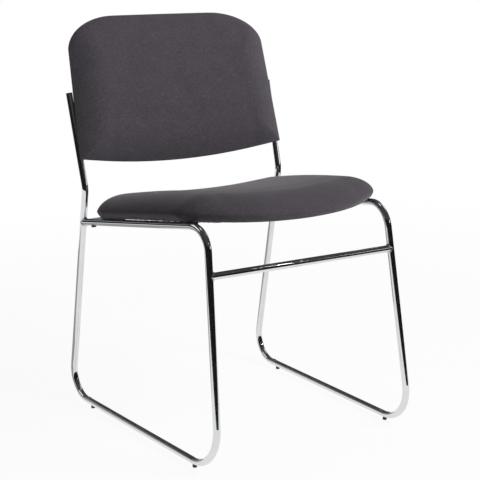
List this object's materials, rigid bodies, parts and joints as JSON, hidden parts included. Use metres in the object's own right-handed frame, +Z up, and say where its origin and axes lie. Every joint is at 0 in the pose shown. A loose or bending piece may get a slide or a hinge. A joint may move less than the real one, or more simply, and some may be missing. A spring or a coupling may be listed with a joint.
{
  "type": "stacking chair",
  "caption": "Sled-base stacking chair with bent chromed tube side frames, crossbars, and a charcoal fabric padded seat and back on hidden boards.",
  "frame": {"origin": "centre of the chair's footprint box, on the floor", "axes": "+X to the right of the picture, across the chair; +Y to the rear of the chair; +Z up"},
  "size_m": [0.4548, 0.5251, 0.7321],
  "materials": {
    "chromed_tube": "bright chrome plate on drawn tube",
    "chromed_tab": "chrome plate on pressed steel",
    "zinc_steel": "zinc-plated fasteners",
    "glide_plastic": "moulded nylon, lightly scuffed",
    "bumper_rubber": "moulded grey rubber",
    "black_plastic": "fine-grained moulded plastic",
    "charcoal_fabric": "fine plain-weave upholstery",
    "pad_foam": "cut polyurethane foam",
    "moulded_plywood": "moulded plywood, unfinished",
    "dust_cloth": "non-woven dust cloth"
  },
  "bodies": {
    "root": {"side_frame_left": "chromed_tube", "side_frame_right": "chromed_tube", "front_crossbar": "chromed_tube", "rear_crossbar": "chromed_tube", "seat_tabs": "chromed_tab", "back_tabs": "chromed_tab", "seat_screws": "zinc_steel", "back_screws": "zinc_steel", "seat_t_nuts": "zinc_steel", "back_t_nuts": "zinc_steel", "glide_front_left": "glide_plastic", "glide_front_right": "glide_plastic", "glide_rear_left": "glide_plastic", "glide_rear_right": "glide_plastic", "rail_bumper_left": "bumper_rubber", "rail_bumper_right": "bumper_rubber", "upright_plug_left": "black_plastic", "upright_plug_right": "black_plastic", "drain_plugs": "black_plastic", "back_rear_panel": "black_plastic", "seat_cover": "charcoal_fabric", "back_cover": "charcoal_fabric", "seat_foam": "pad_foam", "back_foam": "pad_foam", "seat_board": "moulded_plywood", "back_board": "moulded_plywood", "seat_dust_cover": "dust_cloth"}
  },
  "joints": []
}
